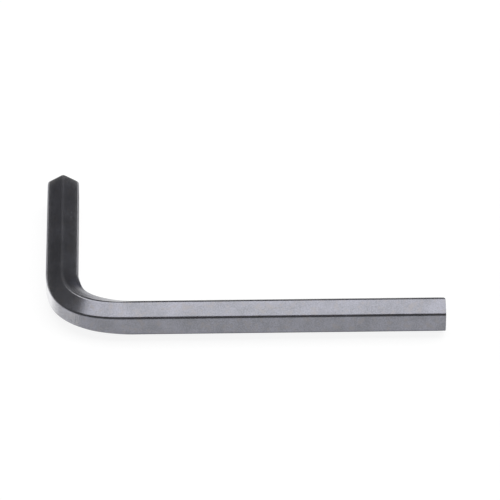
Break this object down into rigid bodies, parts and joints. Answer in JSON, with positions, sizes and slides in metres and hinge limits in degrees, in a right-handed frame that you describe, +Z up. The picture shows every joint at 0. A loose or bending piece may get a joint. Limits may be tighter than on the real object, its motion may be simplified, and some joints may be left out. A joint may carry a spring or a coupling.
{
  "type": "hex key",
  "caption": "L-shaped hex key bent from one hexagon bar, with a long and a short arm, for turning hex socket screws from either end.",
  "frame": {"origin": "on the surface that the key lies on, under the middle of its outline", "axes": "+X along the long arm towards its cut end, +Y along the short arm towards its cut end, +Z up, square to the bend"},
  "size_m": [0.061, 0.0406, 0.0056],
  "materials": {
    "blackened_steel": "satin"
  },
  "bodies": {
    "root": {"hex_key": "blackened_steel"}
  },
  "joints": []
}
